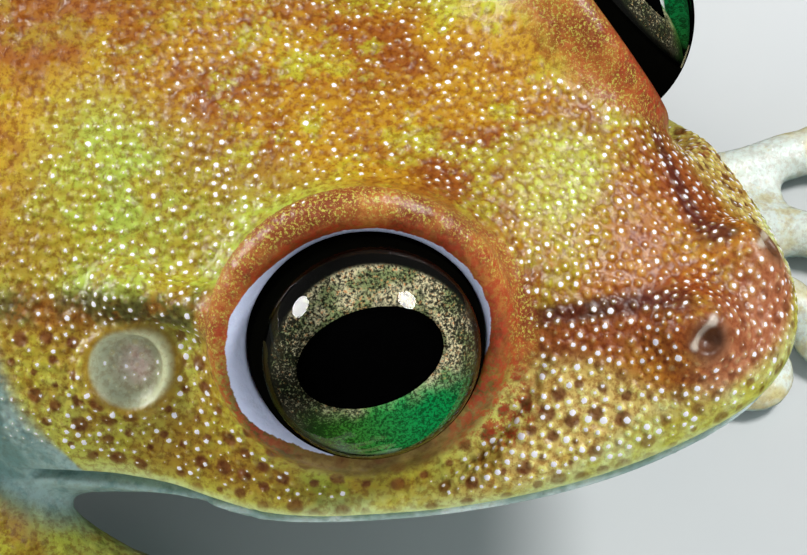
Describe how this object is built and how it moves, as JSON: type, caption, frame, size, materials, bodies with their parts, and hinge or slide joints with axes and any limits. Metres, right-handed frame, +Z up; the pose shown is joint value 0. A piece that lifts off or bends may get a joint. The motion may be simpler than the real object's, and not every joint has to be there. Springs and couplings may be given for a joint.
{
  "type": "tree frog figure",
  "caption": "Life-size still tree frog at rest, head raised, hind legs folded, hands and feet with round discs flat on the floor.",
  "frame": {"origin": "centre of the bounding box on the floor, under the belly, hands and feet", "axes": "+Z up from the floor; the frog faces -Y; its right side is at -X"},
  "size_m": [0.0372, 0.038, 0.0096],
  "materials": {
    "head": "moist skin, mustard yellow and rust orange, finely granular",
    "left_eye": "wet glossy eyeball, bronze and emerald iris, black lying-oval pupil",
    "left_foot": "moist skin, orange-yellow with paler webbing",
    "left_forearm": "moist skin, yellow-green with fine brown spots",
    "left_hand": "moist skin, orange-yellow with paler discs",
    "left_shank": "moist skin, mustard yellow with rust patches",
    "left_tarsus": "moist skin, olive yellow above, pale below",
    "left_thigh": "moist skin, mustard yellow with rust patches",
    "left_upper_arm": "moist skin, yellow-green with fine brown spots",
    "right_eye": "wet glossy eyeball, bronze and emerald iris, black lying-oval pupil",
    "right_foot": "moist skin, orange-yellow with paler webbing",
    "right_forearm": "moist skin, yellow-green with fine brown spots",
    "right_hand": "moist skin, orange-yellow with paler discs",
    "right_shank": "moist skin, mustard yellow with rust patches",
    "right_tarsus": "moist skin, olive yellow above, pale below",
    "right_thigh": "moist skin, mustard yellow with rust patches",
    "right_upper_arm": "moist skin, yellow-green with fine brown spots",
    "torso": "moist skin, mustard yellow with rust patches above, pale blue-green below"
  },
  "bodies": {
    "root": {"head": "head", "left_eye": "left_eye", "left_foot": "left_foot", "left_forearm": "left_forearm", "left_hand": "left_hand", "left_shank": "left_shank", "left_tarsus": "left_tarsus", "left_thigh": "left_thigh", "left_upper_arm": "left_upper_arm", "right_eye": "right_eye", "right_foot": "right_foot", "right_forearm": "right_forearm", "right_hand": "right_hand", "right_shank": "right_shank", "right_tarsus": "right_tarsus", "right_thigh": "right_thigh", "right_upper_arm": "right_upper_arm", "torso": "torso"}
  },
  "joints": []
}
